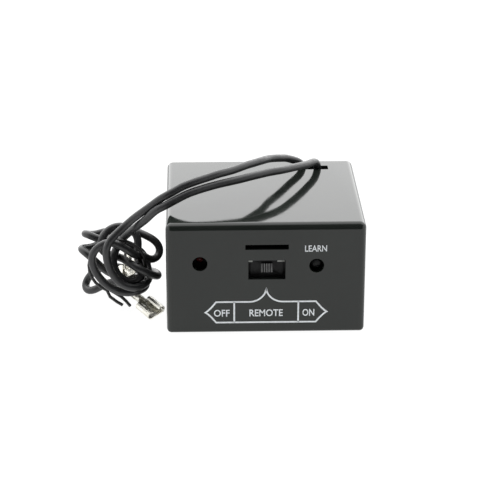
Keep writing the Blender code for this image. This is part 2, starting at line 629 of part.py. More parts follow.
def make_indicator():
    x = FACE_SHIFT + LED_X
    tip = FACE_Y + LED_RECESS
    dome = [(LED_RADIUS * math.sin(a), LED_LENGTH - LED_RADIUS + LED_RADIUS * math.cos(a))
            for a in np.linspace(0.0, math.pi / 2, 5)]
    profile = dome + [(LED_RADIUS, 0.0), (0.0, 0.0)]
    centre = (x, tip + LED_LENGTH, LED_HEIGHT)
    turned("indicator_lamp", profile, ((0.35, 0.02, 0.02), 0.2, 0.0), centre, (math.pi / 2, 0, 0), steps=20)
    holder_front = tip + LED_RADIUS
    low = (x - LED_HOLDER[0] / 2, holder_front, ON_BOARD)
    high = (x + LED_HOLDER[0] / 2, holder_front + LED_HOLDER[1] + FIT, LED_HEIGHT + LED_HOLDER[0] / 2)
    holder = box("lamp_holder", low, high, DARK_NYLON)
    bore = cylinder("cut_lamp_bore", LED_RADIUS + FIT, 4 * LED_LENGTH, (x, holder_front, LED_HEIGHT), "Y")
    cut(holder, bore)


def make_coils():
    """The two bundles of turns as plain rings about the Y axis, flat below, over terminal 1 and its lead."""
    places = (("coil_front", COIL_FRONT, COIL_BASES[0]), ("coil_back", COIL_BACK, COIL_BASES[1]))
    for name, (near, far), base in places:
        centre = (COIL_CENTRE[0], (near + far) / 2, COIL_CENTRE[1])
        coil = cylinder(name, COIL_RADIUS, far - near, centre, "Y", PVC, segments=40)
        hole_centre = (COIL_HOLE_CENTRE[0], (near + far) / 2, COIL_HOLE_CENTRE[1])
        cut(coil, cylinder(f"cut_{name}", COIL_HOLE, 2 * (far - near), hole_centre, "Y"))
        low = (COIL_CENTRE[0] - 2 * COIL_RADIUS, near - CUT_OVER, -CUT_OVER)
        high = (COIL_CENTRE[0] + 2 * COIL_RADIUS, far + CUT_OVER, base)
        cut(coil, box(f"cut_{name}_base", low, high))


def make_leads():
    routes = (
        ("lead_1", LEAD_1_ROUTE), ("lead_2", LEAD_2_ROUTE),
        ("tail_1", TAIL_1_ROUTE), ("tail_2", TAIL_2_ROUTE),
    )
    for name, route in routes:
        tube(name, smooth_route(route, LEAD_SPACING), LEAD_RADIUS, PVC)


def make_tie():
    angles = np.radians(np.linspace(-105.0, 247.0, TIE_SEGMENTS))
    y = (COIL_FRONT[1] + COIL_BACK[0]) / 2
    x, z = COIL_CENTRE
    ring = [(x + TIE_RING * math.cos(a), y, z + TIE_RING * math.sin(a)) for a in angles]
    points = list(reversed(TIE_END_B)) + ring + list(TIE_END_A)
    tube("twist_tie", points, TIE_RADIUS, PVC)


def make_terminal(name, place):
    """A push-on receptacle bent from one sheet, its mouth towards its own +X, then a neck and two crimps."""
    (x, y, z), heading, dip, roll = place
    curl = (SOCKET_HEIGHT - SHEET) / 2
    socket = (SOCKET_WIDTH / 2 - SHEET / 2 - curl, curl, 235)
    neck = (NECK[1] / 2 - 0.0004, 0.0010, 30)
    wire_crimp = (0.0, WIRE_CRIMP[1], 158)
    sleeve_crimp = (0.0, SLEEVE_CRIMP[1], 158)
    neck_start = -SOCKET_LENGTH / 2
    wire_start = neck_start - NECK[0]
    sleeve_start = wire_start - WIRE_CRIMP[0]
    step = 0.0005
    sections = (
        (SOCKET_LENGTH / 2, socket), (neck_start, socket),
        (neck_start - step, neck), (wire_start + step, neck),
        (wire_start, wire_crimp), (sleeve_start + step, wire_crimp), (sleeve_start, sleeve_crimp),
        (-TERMINAL_BACK, sleeve_crimp),
    )
    count = 23
    points = []
    for along, shape in sections:
        points += [(along, across, SHEET / 2 + up) for across, up in bent_profile(*shape, count)]
    faces = []
    for row in range(len(sections) - 1):
        for i in range(row * count, (row + 1) * count - 1):
            faces.append((i, i + count, i + count + 1, i + 1))
    data = bpy.data.meshes.new(name)
    data.from_pydata(points, [], faces)
    terminal = add_object(name, data, TINNED_BRASS)
    solid = terminal.modifiers.new("Sheet", "SOLIDIFY")
    solid.thickness = SHEET
    solid.offset = 0.0
    holder = bpy.data.objects.new(f"{name}_place", None)
    holder.location = (x, y, z)
    holder.rotation_euler = (math.radians(roll), math.radians(dip), math.radians(heading))
    PARTS.objects.link(holder)
    terminal.parent = holder


def main():
    make_case()
    make_base()
    make_door()
    make_cells()
    make_contacts()
    make_springs()
    make_screws()
    make_board()
    make_antenna()
    make_slide_switch()
    make_button()
    make_indicator()
    make_coils()
    make_leads()
    make_tie()
    make_terminal("push_on_terminal_1", TERMINAL_1)
    make_terminal("push_on_terminal_2", TERMINAL_2)


clear_scene()
PARTS = collection("remote_receiver")
CUTTERS = collection("cutters")
main()
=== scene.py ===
"""Looks of a battery remote-control receiver with two bunched leads, built round its fixed frame."""

import json
import math

import bmesh
import bpy
import numpy as np
from bpy.props import FloatProperty, FloatVectorProperty, IntProperty, PointerProperty
from mathutils import Euler, Matrix, Vector


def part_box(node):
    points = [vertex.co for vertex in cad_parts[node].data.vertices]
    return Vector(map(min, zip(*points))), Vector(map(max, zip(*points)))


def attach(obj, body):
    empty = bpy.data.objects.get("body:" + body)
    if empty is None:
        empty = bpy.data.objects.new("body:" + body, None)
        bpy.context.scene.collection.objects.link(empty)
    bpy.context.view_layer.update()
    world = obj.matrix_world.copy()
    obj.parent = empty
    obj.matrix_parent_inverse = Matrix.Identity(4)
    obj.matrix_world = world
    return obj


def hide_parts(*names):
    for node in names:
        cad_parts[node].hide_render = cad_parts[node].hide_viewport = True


bl_info = {
    "name": "Remote Receiver",
    "version": (1, 0, 0),
    "blender": (4, 5, 0),
    "location": "View3D > Sidebar > Receiver",
    "description": "Adds the finishes, marking, leads and stage of a remote-control receiver",
    "category": "Add Mesh",
}

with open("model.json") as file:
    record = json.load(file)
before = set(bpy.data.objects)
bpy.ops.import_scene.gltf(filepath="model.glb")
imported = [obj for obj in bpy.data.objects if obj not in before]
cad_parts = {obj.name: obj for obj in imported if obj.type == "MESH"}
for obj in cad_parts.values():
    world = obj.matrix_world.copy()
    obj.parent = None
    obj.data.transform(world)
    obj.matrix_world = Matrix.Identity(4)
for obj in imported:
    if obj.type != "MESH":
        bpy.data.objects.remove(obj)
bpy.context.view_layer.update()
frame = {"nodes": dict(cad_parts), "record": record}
case_low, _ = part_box("case_top")
FRONT = case_low[1]
CASE_TOP = 0.0425
SMOOTH_ANGLE = 32.0
WELD_DISTANCE = 0.000002

# The first lead from its clamp to the bunch, as in the frame's own route, in metres
LEAD_ONE = (
    (0.0220, 0.0247, 0.0216), (0.0220, 0.0247, 0.0300), (0.0220, 0.0247, 0.0385),
    (0.0220, 0.0245, 0.0428), (0.0209, 0.0220, 0.0456), (0.0172, 0.0150, 0.0473),
    (0.0121, 0.0072, 0.0490), (0.0066, 0.0002, 0.0504), (0.0020, -0.0036, 0.0510),
    (-0.0034, -0.0076, 0.0512), (-0.0100, -0.0113, 0.0509), (-0.0184, -0.0150, 0.0503),
    (-0.0275, -0.0190, 0.0488), (-0.0318, -0.0204, 0.0471), (-0.0357, -0.0207, 0.0450),
)
# Its turns: the knots that the wire is pulled towards, down to its terminal's crimp
TURNS_ONE = (
    (-0.0396, -0.0200, 0.0426), (-0.0434, -0.0174, 0.0384), (-0.0469, -0.0138, 0.0339),
    (-0.0499, -0.0100, 0.0299), (-0.0524, -0.0072, 0.0264), (-0.0546, -0.0082, 0.0232),
    (-0.0558, -0.0108, 0.0202), (-0.0554, -0.0130, 0.0172), (-0.0536, -0.0138, 0.0144),
    (-0.0512, -0.0139, 0.0126), (-0.0488, -0.0138, 0.0120), (-0.0466, -0.0132, 0.0129),
    (-0.0454, -0.0120, 0.0146), (-0.0456, -0.0102, 0.0166), (-0.0464, -0.0080, 0.0180),
    (-0.0472, -0.0054, 0.0196), (-0.0468, -0.0032, 0.0226), (-0.0474, -0.0016, 0.0258),
    (-0.0506, -0.0006, 0.0282), (-0.0550, -0.0002, 0.0286), (-0.0588, -0.0006, 0.0264),
    (-0.0606, -0.0022, 0.0234), (-0.0604, -0.0046, 0.0210), (-0.0584, -0.0062, 0.0202),
    (-0.0554, -0.0068, 0.0196), (-0.0526, -0.0086, 0.0192), (-0.0502, -0.0114, 0.0188),
    (-0.0482, -0.0136, 0.0180), (-0.0454, -0.0143, 0.0168), (-0.0428, -0.0136, 0.0150),
    (-0.0409, -0.0118, 0.0136), (-0.0398, -0.0092, 0.0122), (-0.0396, -0.0056, 0.0112),
    (-0.0406, -0.0016, 0.0104), (-0.0428, 0.0020, 0.0096), (-0.0475, 0.0036, 0.0092),
    (-0.0526, 0.0044, 0.0098), (-0.0574, 0.0046, 0.0104), (-0.0612, 0.0046, 0.0098),
    (-0.0642, 0.0048, 0.0080), (-0.0662, 0.0052, 0.0054), (-0.0673, 0.0044, 0.0032),
    (-0.0669, 0.0020, 0.0020), (-0.0646, 0.0006, 0.0024), (-0.0612, 0.0002, 0.0042),
    (-0.0575, -0.0006, 0.0061), (-0.0540, -0.0026, 0.0065), (-0.0512, -0.0054, 0.0059),
    (-0.0498, -0.0073, 0.0055),
)
# The second lead from its clamp to the bunch
LEAD_TWO = (
    (0.0162, 0.0247, 0.0216), (0.0162, 0.0247, 0.0300), (0.0162, 0.0247, 0.0385),
    (0.0157, 0.0240, 0.0440), (0.0107, 0.0201, 0.0478), (0.0064, 0.0150, 0.0499),
    (0.0025, 0.0103, 0.0513), (-0.0003, 0.0053, 0.0524), (-0.0031, 0.0016, 0.0529),
    (-0.0063, -0.0024, 0.0534), (-0.0113, -0.0080, 0.0536), (-0.0165, -0.0122, 0.0537),
    (-0.0210, -0.0146, 0.0531), (-0.0252, -0.0166, 0.0524), (-0.0297, -0.0182, 0.0512),
    (-0.0340, -0.0193, 0.0491), (-0.0378, -0.0186, 0.0466), (-0.0426, -0.0168, 0.0423),
)
# Its turns, down to the second terminal's crimp
TURNS_TWO = (
    (-0.0475, -0.0152, 0.0380), (-0.0516, -0.0148, 0.0341), (-0.0546, -0.0156, 0.0313),
    (-0.0566, -0.0165, 0.0296), (-0.0577, -0.0169, 0.0274), (-0.0580, -0.0169, 0.0249),
    (-0.0577, -0.0169, 0.0214), (-0.0566, -0.0169, 0.0177), (-0.0548, -0.0169, 0.0146),
    (-0.0522, -0.0169, 0.0121), (-0.0492, -0.0168, 0.0109), (-0.0469, -0.0162, 0.0108),
    (-0.0452, -0.0146, 0.0110), (-0.0439, -0.0124, 0.0110), (-0.0432, -0.0098, 0.0108),
    (-0.0430, -0.0066, 0.0114), (-0.0436, -0.0030, 0.0134), (-0.0446, -0.0010, 0.0170),
    (-0.0486, -0.0008, 0.0206), (-0.0540, -0.0008, 0.0226), (-0.0594, -0.0012, 0.0236),
    (-0.0634, -0.0008, 0.0248), (-0.0660, 0.0010, 0.0252), (-0.0667, 0.0038, 0.0242),
    (-0.0654, 0.0066, 0.0228), (-0.0622, 0.0080, 0.0222), (-0.0588, 0.0076, 0.0234),
    (-0.0542, 0.0060, 0.0248), (-0.0500, 0.0042, 0.0256), (-0.0469, 0.0024, 0.0252),
    (-0.0442, 0.0010, 0.0244), (-0.0412, 0.0000, 0.0230), (-0.0391, -0.0008, 0.0208),
    (-0.0389, -0.0018, 0.0186), (-0.0400, -0.0030, 0.0172), (-0.0418, -0.0046, 0.0172),
    (-0.0442, -0.0068, 0.0182), (-0.0463, -0.0090, 0.0198), (-0.0480, -0.0112, 0.0218),
    (-0.0507, -0.0123, 0.0241), (-0.0535, -0.0126, 0.0261), (-0.0562, -0.0127, 0.0272),
    (-0.0586, -0.0126, 0.0270), (-0.0602, -0.0125, 0.0257), (-0.0622, -0.0124, 0.0244),
    (-0.0635, -0.0124, 0.0221), (-0.0636, -0.0124, 0.0193), (-0.0625, -0.0124, 0.0157),
    (-0.0607, -0.0124, 0.0127), (-0.0580, -0.0124, 0.0098), (-0.0546, -0.0125, 0.0079),
    (-0.0511, -0.0126, 0.0069), (-0.0480, -0.0124, 0.0069), (-0.0456, -0.0116, 0.0075),
    (-0.0442, -0.0098, 0.0084), (-0.0440, -0.0074, 0.0092), (-0.0454, -0.0052, 0.0094),
    (-0.0490, -0.0036, 0.0092), (-0.0540, -0.0030, 0.0096), (-0.0580, -0.0040, 0.0116),
    (-0.0608, -0.0058, 0.0148), (-0.0634, -0.0070, 0.0182), (-0.0658, -0.0066, 0.0204),
    (-0.0676, -0.0044, 0.0210), (-0.0676, -0.0012, 0.0204), (-0.0656, 0.0012, 0.0196),
    (-0.0630, 0.0024, 0.0196), (-0.0614, 0.0036, 0.0204), (-0.0604, 0.0050, 0.0212),
    (-0.0598, 0.0070, 0.0212), (-0.0588, 0.0090, 0.0206), (-0.0570, 0.0106, 0.0194),
    (-0.0546, 0.0110, 0.0176), (-0.0522, 0.0098, 0.0157), (-0.0512, 0.0074, 0.0148),
    (-0.0512, 0.0048, 0.0145),
)

# How the leads settle: rounds, point spacing, how far each round draws a point to its knots and evens out
# its bends, how much over a wire's thickness two turns keep, how many thicknesses along itself a wire
# ignores, how far beyond touching a pair is watched, and how much of a push is made
SETTLE_ROUNDS = 600
SETTLE_SPACING = 0.00145
SETTLE_PULL = 0.02
SETTLE_BEND = 0.06
SETTLE_OVER = 1.05
SETTLE_SKIP = 2.6
SETTLE_WATCH = 0.0025
SETTLE_SPREAD = 1.6
SETTLE_PUSH = 0.6
SIDE_GAP = 0.00025
FLOOR_GAP = 0.00006
BOX_GAP = 0.00015
TIE_GAP = 0.0001

# The tie's ring round the bunch, and its wire's radius
TIE_CENTRE = np.array((-0.0545, -0.0098, 0.0166))
TIE_RING = 0.0106
TIE_WIRE = 0.0006

# Terminals as boxes that the wires lie round: middle, turns about X, Y and Z in degrees, half sizes
TERMINAL_BOXES = (
    ((-0.0511, -0.0080, 0.0143), (28.0, 0.0, -90.0), (0.0040, 0.0038, 0.0014)),
    ((-0.0512, 0.0003, 0.0144), (28.0, 0.0, -90.0), (0.0044, 0.0015, 0.0015)),
    ((-0.0422, -0.0172, 0.0030), (10.6, 10.0, -53.8), (0.0040, 0.0039, 0.0015)),
    ((-0.0470, -0.0107, 0.0046), (10.6, 10.0, -53.8), (0.0042, 0.0016, 0.0016)),
)

# The switch's corner tabs and the black plate under its window, which is painted shade over the board seen
# through the gap under the shutter: name, lower left and upper right corners in X and Z, and where each faces
# forwards
SWITCH_TABS = (
    ("frame_tab_left", (-0.0064, 0.0269), (-0.0048, 0.0282)),
    ("frame_tab_right", (0.0041, 0.0269), (0.0068, 0.0282)),
)
SWITCH_PAINTED_SHADE = ((-0.0066, 0.0196), (0.0072, 0.0217))
TAB_FRONT = -0.0315
PAINTED_SHADE_FRONT = -0.0306
PLATE_THICK = 0.0004
# Front and back in Y of the knob's rib tips, which get a painted highlight
KNOB_TIPS = (-0.0322, -0.0319)

# Print on the face: the plaque's bottom, top and points, its left and right point and corner, where its peak
# starts, stands and ends, its two dividers, and each word's middle, width and whether it is a small one
PLAQUE_LOW, PLAQUE_HIGH, PLAQUE_MIDDLE = 0.0042, 0.0123, 0.0082
PLAQUE_LEFT = (-0.0220, -0.01805)
PLAQUE_RIGHT = (0.0222, 0.01815)
PEAK_START, PEAK, PEAK_END = -0.0060, (0.0001, 0.0179), 0.0062
DIVIDERS = (-0.01147, 0.01176)
WORDS = (
    ("OFF", -0.0160, 0.0079, 0.0057, False),
    ("REMOTE", 0.0001, 0.0079, 0.0121, False),
    ("ON", 0.01545, 0.0079, 0.0043, False),
    ("LEARN", 0.01785, 0.0330, 0.0079, True),
)
INK_SINK = 0.00002

# How bright the room is by angle in its upright plane: degrees from the front horizon up over the top
ROOM_BANDS = ((-180.0, 1.0), (-60.0, 1.0), (-24.0, 0.06), (66.0, 0.06), (80.0, 1.9), (95.0, 2.7),
              (150.0, 2.95), (180.0, 2.95))
ROOM_PEAK = 2.95

# The camera's place, its three angles in degrees and its lens
CAMERA_PLACE = (-0.0249, -0.63797, 0.28292)
CAMERA_ANGLES = (22.5, 1.81, 0.16)
CAMERA_LENS = 131.6


class ReceiverSizes(bpy.types.PropertyGroup):
    """Sizes that a user would change."""

    wire_radius: FloatProperty(
        name="Wire Radius",
        description="Outside radius of a lead's insulation",
        default=0.00145,
        unit="LENGTH",
    )
    wire_sides: IntProperty(name="Wire Sides", description="Faces round a wire", default=20, min=8)
    line_width: FloatProperty(
        name="Line Width",
        description="Width of the printed line round the switch's words",
        default=0.0006,
        unit="LENGTH",
    )
    ink_height: FloatProperty(
        name="Ink Height",
        description="How far the print stands off the face",
        default=0.00004,
        unit="LENGTH",
    )
    word_height: FloatProperty(
        name="Word Height",
        description="Capital height of the switch's words",
        default=0.00275,
        unit="LENGTH",
    )
    small_word_height: FloatProperty(
        name="Small Word Height",
        description="Capital height of the word over the button",
        default=0.0024,
        unit="LENGTH",
    )


class ReceiverColours(bpy.types.PropertyGroup):
    """Colours that a user would change."""

    case: FloatVectorProperty(
        name="Case",
        description="Moulded plastic of the case",
        default=(0.0165, 0.0200, 0.0175),
        size=3,
        subtype="COLOR",
        min=0.0,
        max=1.0,
    )
    wire: FloatVectorProperty(
        name="Wire",
        description="Soft insulation of the leads",
        default=(0.019, 0.0195, 0.0205),
        size=3,
        subtype="COLOR",
        min=0.0,
        max=1.0,
    )
    metal: FloatVectorProperty(
        name="Metal",
        description="Tinned terminals",
        default=(0.90, 0.89, 0.83),
        size=3,
        subtype="COLOR",
        min=0.0,
        max=1.0,
    )
    ink: FloatVectorProperty(
        name="Ink",
        description="Print on the face",
        default=(0.93, 0.97, 1.00),
        size=3,
        subtype="COLOR",
        min=0.0,
        max=1.0,
    )


# ---------------------------------------------------------------- finishes


def shader_tree(name):
    """An empty material with a Principled shader and its output: the material, its nodes and its links."""
    material = bpy.data.materials.new(name)
    material.use_nodes = True
    nodes, links = material.node_tree.nodes, material.node_tree.links
    nodes.clear()
    shader = nodes.new("ShaderNodeBsdfPrincipled")
    output = nodes.new("ShaderNodeOutputMaterial")
    links.new(shader.outputs["BSDF"], output.inputs["Surface"])
    return material, nodes, links, shader


def noise_on(nodes, links, source, scale, detail=4.0, stretch=(1.0, 1.0, 1.0)):
    """A noise texture read on the given coordinates, stretched along its axes."""
    mapping = nodes.new("ShaderNodeMapping")
    mapping.inputs["Scale"].default_value = stretch
    noise = nodes.new("ShaderNodeTexNoise")
    noise.inputs["Scale"].default_value = scale
    noise.inputs["Detail"].default_value = detail
    links.new(source, mapping.inputs["Vector"])
    links.new(mapping.outputs["Vector"], noise.inputs["Vector"])
    return noise.outputs["Fac"]


def between(nodes, links, factor, low, high, socket):
    """Feeds a socket with a value that runs from low to high as the factor does from 0.35 to 0.65."""
    spread = nodes.new("ShaderNodeMapRange")
    spread.inputs["From Min"].default_value = 0.35
    spread.inputs["From Max"].default_value = 0.65
    spread.inputs["To Min"].default_value = low
    spread.inputs["To Max"].default_value = high
    links.new(factor, spread.inputs["Value"])
    links.new(spread.outputs["Result"], socket)


def finish(name, colour, second=None, patches=60.0, rough=(0.3, 0.4), grain=2500.0, depth=0.00002,
           grain_strength=0.3, metallic=0.0, ior=1.5, stretch=(1.0, 1.0, 1.0), tips=None):
    """A finish: colour drifting to a second one in patches, uneven gloss, and a fine grain in relief.

    tips, (front, back, colour), paints a highlight on what stands in front of back: another colour, in full
    at front."""
    material, nodes, links, shader = shader_tree(name)
    place = nodes.new("ShaderNodeTexCoord").outputs["Object"]
    second = second or tuple(c * 0.8 for c in colour)
    patch = noise_on(nodes, links, place, patches, 5.0)
    mix = nodes.new("ShaderNodeMix")
    mix.data_type = "RGBA"
    between(nodes, links, patch, 0.0, 1.0, mix.inputs["Factor"])
    mix.inputs["A"].default_value = (*colour, 1.0)
    mix.inputs["B"].default_value = (*second, 1.0)
    surface_colour = mix.outputs["Result"]
    if tips:
        surface_colour = painted_highlight(nodes, links, place, surface_colour, *tips)
    links.new(surface_colour, shader.inputs["Base Color"])
    gloss = noise_on(nodes, links, place, patches * 4.0, 3.0, stretch)
    between(nodes, links, gloss, rough[0], rough[1], shader.inputs["Roughness"])
    bump = nodes.new("ShaderNodeBump")
    bump.inputs["Distance"].default_value = depth
    bump.inputs["Strength"].default_value = grain_strength
    links.new(noise_on(nodes, links, place, grain, 2.0, stretch), bump.inputs["Height"])
    links.new(bump.outputs["Normal"], shader.inputs["Normal"])
    shader.inputs["Metallic"].default_value = metallic
    shader.inputs["IOR"].default_value = ior
    return material


def painted_highlight(nodes, links, place, colour, front, back, highlight):
    """The colour, turning to the painted highlight's colour as Y goes from back to front."""
    parts, reach, mix = (nodes.new("ShaderNode" + kind) for kind in ("SeparateXYZ", "MapRange", "Mix"))
    links.new(place, parts.inputs["Vector"])
    links.new(parts.outputs["Y"], reach.inputs["Value"])
    reach.inputs["From Min"].default_value = back
    reach.inputs["From Max"].default_value = front
    mix.data_type = "RGBA"
    links.new(reach.outputs["Result"], mix.inputs["Factor"])
    links.new(colour, mix.inputs["A"])
    mix.inputs["B"].default_value = (*highlight, 1.0)
    return mix.outputs["Result"]


def all_finishes():
    """Every material slot's finish, made once and kept by slot name."""
    if "case_black" in bpy.data.materials and bpy.data.materials["case_black"].get("receiver"):
        return {m.name: m for m in bpy.data.materials if m.get("receiver")}
    for old in list(bpy.data.materials):
        old.name = "frame_" + old.name
    tint = bpy.context.scene.receiver_colours
    case, wire, metal = tuple(tint.case), tuple(tint.wire), tuple(tint.metal)
    made = {
        "case_black": finish("case_black", case, tuple(c * 0.82 for c in case), 45.0, (0.065, 0.10),
                             2600.0, 0.000004, 0.12, ior=1.45),
        "wire_black": finish("wire_black", wire, tuple(c * 1.7 for c in wire), 150.0, (0.30, 0.42),
                             1400.0, 0.000008, 0.15),
        "tinned_brass": finish("tinned_brass", metal, (0.70, 0.68, 0.60), 300.0, (0.26, 0.42),
                               1500.0, 0.00003, 0.35, metallic=1.0, stretch=(1.0, 4.0, 1.0)),
        "print_ink": finish("print_ink", tuple(tint.ink), tuple(c * 0.86 for c in tint.ink), 900.0,
                            (0.45, 0.6), 4000.0, 0.00001, 0.4),
        # The knob's rib tips get a painted highlight of lighter grey
        "knob_black": finish("knob_black", (0.007, 0.007, 0.0075), (0.010, 0.010, 0.010), 300.0, (0.4, 0.5),
                             3000.0, 0.00001, 0.3, ior=1.35, tips=(*KNOB_TIPS, (0.16, 0.16, 0.16))),
        "plated_steel": finish("plated_steel", (0.50, 0.50, 0.47), (0.36, 0.36, 0.34), 260.0, (0.22, 0.4),
                               1400.0, 0.00002, 0.3, metallic=1.0, stretch=(6.0, 1.0, 1.0)),
        "frame_tab": finish("frame_tab", (0.30, 0.31, 0.29), (0.16, 0.16, 0.15), 300.0, (0.35, 0.5),
                            900.0, 0.00001, 0.2, metallic=0.6),
        "frame_dark": finish("frame_dark", (0.020, 0.020, 0.019), (0.012, 0.012, 0.012), 260.0, (0.4, 0.55),
                             1400.0, 0.00002, 0.3, ior=1.35, stretch=(6.0, 1.0, 1.0)),
        "screw_steel": finish("screw_steel", (0.42, 0.42, 0.43), (0.3, 0.3, 0.31), 400.0, (0.28, 0.45),
                              2500.0, 0.00002, 0.3, metallic=1.0),
        "lamp_red": finish("lamp_red", (0.10, 0.006, 0.005), (0.06, 0.004, 0.004), 300.0, (0.3, 0.4),
                           1500.0, 0.00001, 0.2, ior=1.4),
        "inner_black": finish("inner_black", (0.012, 0.012, 0.013), (0.02, 0.02, 0.02), 120.0, (0.4, 0.55)),
        "tie_black": finish("tie_black", (0.012, 0.012, 0.012), (0.03, 0.03, 0.03), 700.0, (0.35, 0.5),
                            1800.0, 0.00004, 0.4),
        "board_green": finish("board_green", (0.02, 0.09, 0.03), (0.03, 0.12, 0.045), 300.0, (0.22, 0.3),
                              1200.0, 0.00003, 0.3),
        "relay_blue": finish("relay_blue", (0.01, 0.05, 0.16), (0.008, 0.04, 0.13), 120.0, (0.35, 0.45)),
        "capacitor_sleeve": finish("capacitor_sleeve", (0.02, 0.02, 0.05), (0.015, 0.015, 0.04), 300.0,
                                   (0.2, 0.3)),
        "cell_sleeve": finish("cell_sleeve", (0.08, 0.09, 0.10), (0.06, 0.065, 0.075), 90.0, (0.2, 0.3)),
        "switch_laminate": finish("switch_laminate", (0.25, 0.16, 0.08), (0.19, 0.12, 0.06), 500.0,
                                  (0.5, 0.6), 1500.0, 0.00003, 0.4, stretch=(1.0, 8.0, 1.0)),
    }
    for material in made.values():
        material["receiver"] = 1
    return made


def slot_of(node):
    """The record's material slot of a frame node."""
    return next(part["material_slot"] for part in frame["record"]["subparts"] if part["node"] == node)


# ---------------------------------------------------------------- surfaces


def mesh_object(name, vertices, faces, material, smooth=True):
    """A mesh from whole arrays of vertices and faces, at the origin, with one finish."""
    mesh = bpy.data.meshes.new(name)
    mesh.from_pydata(vertices.tolist(), [], [tuple(face) for face in faces])
    mesh.polygons.foreach_set("use_smooth", np.full(len(mesh.polygons), smooth))
    mesh.materials.append(material)
    mesh.validate()
    piece = bpy.data.objects.new(name, mesh)
    bpy.context.scene.collection.objects.link(piece)
    return piece


def along(path):
    """Unit tangents of a path, from the difference of each point's two neighbours."""
    way = np.gradient(path, axis=0)
    return way / np.linalg.norm(way, axis=1)[:, None]


def carried_frames(path):
    """Two unit vectors across a path at each point, turned as little as possible from one point to the next:
    the last point's vector has the new tangent's share taken out, and is made unit length again."""
    way = along(path)
    across = np.zeros_like(path)
    side = np.cross(way[0], (0.0, 0.0, 1.0))
    if np.linalg.norm(side) < 0.2:
        side = np.cross(way[0], (0.0, 1.0, 0.0))
    for step, tangent in enumerate(way):
        side = side - tangent * np.dot(side, tangent)
        side = side / np.linalg.norm(side)
        across[step] = side
    return across, np.cross(way, across)


def tube(name, path, radius, sides, material):
    """A round tube: a circle of the given radius carried along the path, point = path + radius times
    (cosine along the first cross vector + sine along the second). Its ends close on a middle point."""
    across, upright = carried_frames(path)
    turn = np.linspace(0.0, 2.0 * math.pi, sides, endpoint=False)
    cosine, sine = np.cos(turn)[None, :, None], np.sin(turn)[None, :, None]
    ring = cosine * across[:, None, :] + sine * upright[:, None, :]
    surface = (path[:, None, :] + radius * ring).reshape(-1, 3)
    vertices = np.vstack([surface, path[:1], path[-1:]])
    count = len(path)
    row, column = np.meshgrid(np.arange(count - 1), np.arange(sides), indexing="ij")
    after = (column + 1) % sides
    walls = np.stack([row * sides + column, row * sides + after, (row + 1) * sides + after,
                      (row + 1) * sides + column], axis=-1).reshape(-1, 4)
    edge = np.arange(sides)
    start = np.stack([np.full(sides, count * sides), (edge + 1) % sides, edge], axis=-1)
    last = (count - 1) * sides
    end = np.stack([np.full(sides, count * sides + 1), last + edge, last + (edge + 1) % sides], axis=-1)
    return mesh_object(name, vertices, walls.tolist() + start.tolist() + end.tolist(), material)


def bar(name, path, width, height, material, closed):
    """A flat line of print in the plane of the face: a rectangle width by height carried along the path,
    with mitred corners, its back on the face and its front height in front of it."""
    step = np.roll(path, -1, axis=0) - path
    if not closed:
        step[-1] = step[-2]
    step = step / np.linalg.norm(step, axis=1)[:, None]
    before = np.roll(step, 1, axis=0)
    if not closed:
        before[0] = step[0]
    normal = np.stack([-step[:, 1], step[:, 0]], axis=1)
    normal_before = np.stack([-before[:, 1], before[:, 0]], axis=1)
    mitre = normal + normal_before
    mitre = mitre / np.maximum((mitre * normal).sum(axis=1), 0.6)[:, None]
    left, right = path + mitre * width / 2, path - mitre * width / 2
    count = len(path)
    sheet = np.vstack([left, right])
    front = np.column_stack([sheet[:, 0], np.full(2 * count, FRONT - height), sheet[:, 1]])
    back = np.column_stack([sheet[:, 0], np.full(2 * count, FRONT + INK_SINK), sheet[:, 1]])
    here = np.arange(count if closed else count - 1)
    then = (here + 1) % count
    faces = np.vstack([
        np.stack([here, then, then + count, here + count], axis=1),
        np.stack([here + 3 * count, then + 3 * count, then + 2 * count, here + 2 * count], axis=1),
        np.stack([here + 2 * count, then + 2 * count, then, here], axis=1),
        np.stack([here + count, then + count, then + 3 * count, here + 3 * count], axis=1),
    ]).tolist()
    if not closed:
        faces += [[0, count, 3 * count, 2 * count], [count - 1, 3 * count - 1, 4 * count - 1, 2 * count - 1]]
    return mesh_object(name, np.vstack([front, back]), faces, material, smooth=False)


def plate(name, low, high, front, thick, material, corner=0.0002):
    """A thin plate facing forwards: a rectangle in X and Z whose corners are quarter circles, carried back
    from the front plane by its thickness."""
    turn = np.linspace(0.0, math.pi / 2, 5)
    quarter = np.concatenate([turn + math.pi / 2 * side for side in range(4)])
    x = np.repeat((high[0] - corner, low[0] + corner, low[0] + corner, high[0] - corner), 5)
    z = np.repeat((high[1] - corner, high[1] - corner, low[1] + corner, low[1] + corner), 5)
    edge = np.column_stack([x + corner * np.cos(quarter), z + corner * np.sin(quarter)])
    count = len(edge)
    depth = np.repeat((front, front + thick), count)
    vertices = np.column_stack([np.tile(edge[:, 0], 2), depth, np.tile(edge[:, 1], 2)])
    here = np.arange(count)
    then = (here + 1) % count
    sides = np.stack([here, here + count, then + count, then], axis=1).tolist()
    return mesh_object(name, vertices, [list(here), list(here[::-1] + count)] + sides, material, smooth=False)


def merged_copy(node, material):
    """A copy of a frame node with its loose triangles merged, smooth across its flatter edges."""
    source = frame["nodes"][node]
    mesh = source.data.copy()
    mesh.transform(source.matrix_world)
    mesh.name = node + "_skin"
    skin = bpy.data.objects.new(node + "_skin", mesh)
    bpy.context.scene.collection.objects.link(skin)
    weld_doubles(mesh)
    mesh.polygons.foreach_set("use_smooth", np.full(len(mesh.polygons), True))
    mesh.set_sharp_from_angle(angle=math.radians(SMOOTH_ANGLE))
    mesh.materials.clear()
    mesh.materials.append(material)
    weighted = skin.modifiers.new("Weighted Normals", "WEIGHTED_NORMAL")
    weighted.keep_sharp = True
    weighted.weight = 100
    return skin


def weld_doubles(mesh):
    """Merges vertices that share a place."""
    work = bmesh.new()
    work.from_mesh(mesh)
    bmesh.ops.remove_doubles(work, verts=work.verts, dist=WELD_DISTANCE)
    work.to_mesh(mesh)
    work.free()


